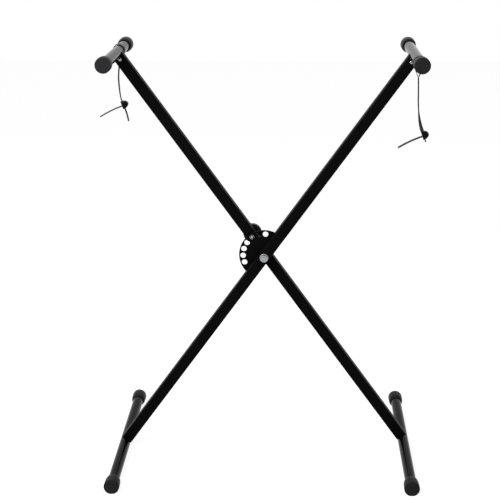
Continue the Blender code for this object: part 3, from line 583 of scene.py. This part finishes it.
STRAP_WIDTH, BAND_THICKNESS, LAYER, SLACK, PINCH_HALF_GAP = 0.008, 0.0022, 0.0012, 0.0006, 0.0009
LOCK_WIDTH, LOCK_HEIGHT, LOCK_DEPTH, LOCK_STRAIGHT = 0.013, 0.016, 0.011, 0.0013
STRAP_OFFSET, TAIL_OFFSET, TAIL_LENGTH, TAIL_SAG, END_LEAN = 0.0033, 0.0015, 0.0495, 0.0052, -0.10
LOCK_TILT, SLANT_AT = math.radians(20), math.radians(135)

# Woven nylon: matt black thread with a soft sheen at its edges. The ribs run across the strap. They are
# 0.8 mm apart on the real one, and are drawn 1.6 mm apart so that they show. The threads along it are 1 mm
# apart.
webbing, tree, shader = dielectric("woven_nylon_webbing", "webbing", 0.8, 0.3)
shader.inputs["Sheen Weight"].default_value = 0.3
shader.inputs["Sheen Roughness"].default_value = 0.4
laid_flat = add(tree, "ShaderNodeUVMap", {"uv_map": "strap"}).outputs[0]
crossing = [(0, bands(tree, "Y", 0.0016, laid_flat)), (1, bands(tree, "X", 0.0010, laid_flat))]
weave = add(tree, "ShaderNodeMath", {"operation": "MULTIPLY"}, crossing).outputs[0]
tone(tree, shader, weave, "#2E2E30", "#5A5A5E")
relief(tree, shader, weave, 0.6, 0.0002)


def smooth_route(points, parts):
    """Points along a smooth curve through the given ones."""
    ends = [points[0] * 2 - points[1], *points, points[-1] * 2 - points[-2]]
    route = []
    for before, start, end, after in zip(ends, ends[1:], ends[2:], ends[3:]):
        for i in range(parts):
            t = i / parts
            bend = (before * 2 - start * 5 + end * 4 - after) * t * t
            swing = (start * 3 - before - end * 3 + after) * t * t * t
            route.append(start + ((end - before) * t + bend + swing) / 2)
    return [*route, points[-1]]


def woven(route, thickness, twist=0.0):
    """Webbing with soft edges along a route, its strap map in metres across and along it."""
    half, thin = STRAP_WIDTH / 2, thickness / 2
    flat, edge = half - thin * 0.6, thin * 0.35
    section = [(flat, thin), (0.0, thin), (-flat, thin), (-half, edge), (-half, -edge)]
    section += [(-flat, -thin), (0.0, -thin), (flat, -thin), (half, -edge), (half, edge)]
    last = len(route) - 1
    rings, lengths, total = [], [], 0.0
    for i, middle in enumerate(route):
        along = (route[min(i + 1, last)] - route[max(i - 1, 0)]).normalized()
        share = max(0.0, 2 * i / last - 1)
        across = Vector((0.0, 1.0, 0.0))
        across = (across - along * across.dot(along)).normalized()
        across.rotate(Matrix.Rotation(twist * share * share * (3 - 2 * share), 3, along))
        out = along.cross(across)
        total += (middle - route[i - 1]).length if i else 0.0
        lengths.append(total)
        rings.append([middle + across * x + out * z for x, z in section])
    built = skinned(rings)
    built.faces.new(built.verts[: len(section)])
    built.faces.new(list(built.verts[-len(section) :]))
    built.verts.index_update()
    strap_map = built.loops.layers.uv.new("strap")
    for face in built.faces:
        for loop in face.loops:
            row, spot = divmod(loop.vert.index, len(section))
            loop[strap_map].uv = (section[spot][0], lengths[row])
    return built


# Routes of the hanging bands: how far sideways, and how far below the pinch
LEFT_BAND = (
    (0.0, 0.0),
    (-0.0004, 0.0070),
    (-0.0012, 0.0135),
    (-0.0019, 0.0235),
    (-0.0020, 0.0335),
    (-0.0013, 0.0448),
    (-0.0003, 0.0567),
    (0.0014, 0.0675),
    (0.0033, 0.0730),
)
RIGHT_BAND = (
    (0.0, 0.0),
    (0.0003, 0.0070),
    (0.0006, 0.0145),
    (0.0010, 0.0295),
    (0.0013, 0.0443),
    (0.0022, 0.0590),
    (0.0034, 0.0704),
    (0.0054, 0.0836),
    (0.0083, 0.0951),
    (0.0107, 0.1017),
)

# For each strap: its place along the arm, the pinch's drop below the arm, how far the upper left of the
# loop bulges along the arm and its top leans, the band, the turn at its end, and the loose end's length
for side, place, body, y, drop, slant, lean, band, twist, end_length in (
    ("left", REAR, "rear_leg", 0.05005, 0.026, 0.016, 0.0, LEFT_BAND, math.radians(-8), 0.026),
    ("right", FRONT, "front_leg", -0.088, 0.030, 0.0, -0.028, RIGHT_BAND, math.radians(55), 0.005),
):
    hang = Matrix.Translation(place @ Vector((0.0, 0.0, ARM_REACH)))
    reach = TUBE_RADIUS + SLACK + LAYER / 2
    pinch = Vector((PINCH_HALF_GAP, -drop))
    leaves = math.atan2(pinch.y, pinch.x) + math.acos(reach / pinch.length)
    half_turn = ring_points(reach, 16, start=leaves, sweep=math.pi - 2 * leaves, ends=1)
    halfway = ((pinch.x + half_turn[0][0]) / 2, (pinch.y + half_turn[0][1]) / 2)
    section = [(pinch.x, pinch.y), halfway, *half_turn, (-halfway[0], halfway[1]), (-pinch.x, pinch.y)]
    loop_points = []
    for x, z in section:
        lift = max(0.0, math.cos(math.atan2(z, x) - SLANT_AT))
        rise = max(0.0, (z - halfway[1]) / (reach - halfway[1]))
        loop_points.append(Vector((x, y + slant * lift * lift + lean * rise * rise * (3 - 2 * rise), z)))
    built = woven(smooth_route(loop_points, 3), LAYER)
    loop = fit(built, side + "_loop_webbing", hang, webbing, body, side + "_strap_loop")

    top = -drop - LAYER / 2 - CLEARANCE
    band_route = smooth_route([Vector((x, y, top - below)) for x, below in band], 6)
    built = woven(band_route, BAND_THICKNESS, twist)
    hanging = fit(built, side + "_band_webbing", hang, webbing, body, side + "_strap_band")

    tilt = Matrix.Rotation(-LOCK_TILT, 4, "Y")
    seat = Vector((-STRAP_OFFSET, 0.0, LOCK_HEIGHT / 2 + CLEARANCE))
    lock_frame = hang @ Matrix.Translation(band_route[-1] - tilt.to_3x3() @ seat) @ tilt
    straight = LOCK_WIDTH / 2
    swell = LOCK_WIDTH - LOCK_STRAIGHT
    outline = [(-straight, LOCK_HEIGHT / 2), (-straight, 0.0), (-straight, -LOCK_HEIGHT / 2)]
    for i in range(25):
        angle = math.pi * (i / 24 - 0.5)
        outline.append((straight - swell + swell * math.cos(angle), LOCK_HEIGHT / 2 * math.sin(angle)))
    rings = [[(0.0, 0.0, -LOCK_DEPTH / 2)]]
    # Levels through the block, and how far its outline draws in there
    for height, inset in ((-1.0, 0.12), (-0.93, 0.03), (-0.8, 0.0), (0.8, 0.0), (0.93, 0.03), (1.0, 0.12)):
        rings.append([(px * (1 - inset), py * (1 - inset), height * LOCK_DEPTH / 2) for px, py in outline])
    rings.append([(0.0, 0.0, LOCK_DEPTH / 2)])
    seat = lock_frame @ TO_FRONT
    block = fit(skinned(rings), side + "_lock_block", seat, moulded_abs, body, side + "_strap_lock")

    tail_points, end_points = [], []
    for share in (0.0, 1 / 3, 2 / 3, 1.0):
        out = straight + CLEARANCE + TAIL_LENGTH * share
        tail_points.append(Vector((-out, 0.0, -TAIL_OFFSET - TAIL_SAG * share * share)))
        fall = end_length * share
        swing = END_LEAN * share * fall
        end_points.append(Vector((swing - STRAP_OFFSET, 0.0, -LOCK_HEIGHT / 2 - CLEARANCE - fall)))
    built = woven(smooth_route(tail_points, 6), BAND_THICKNESS)
    tail = fit(built, side + "_tail_webbing", lock_frame, webbing, body, side + "_strap_tail")
    built = woven(smooth_route(end_points, 4), BAND_THICKNESS)
    end = fit(built, side + "_end_webbing", lock_frame, webbing, body, side + "_strap_end")

    route = [hang @ p for p in band_route]
    length = sum((b - a).length for a, b in zip(route, route[1:]))
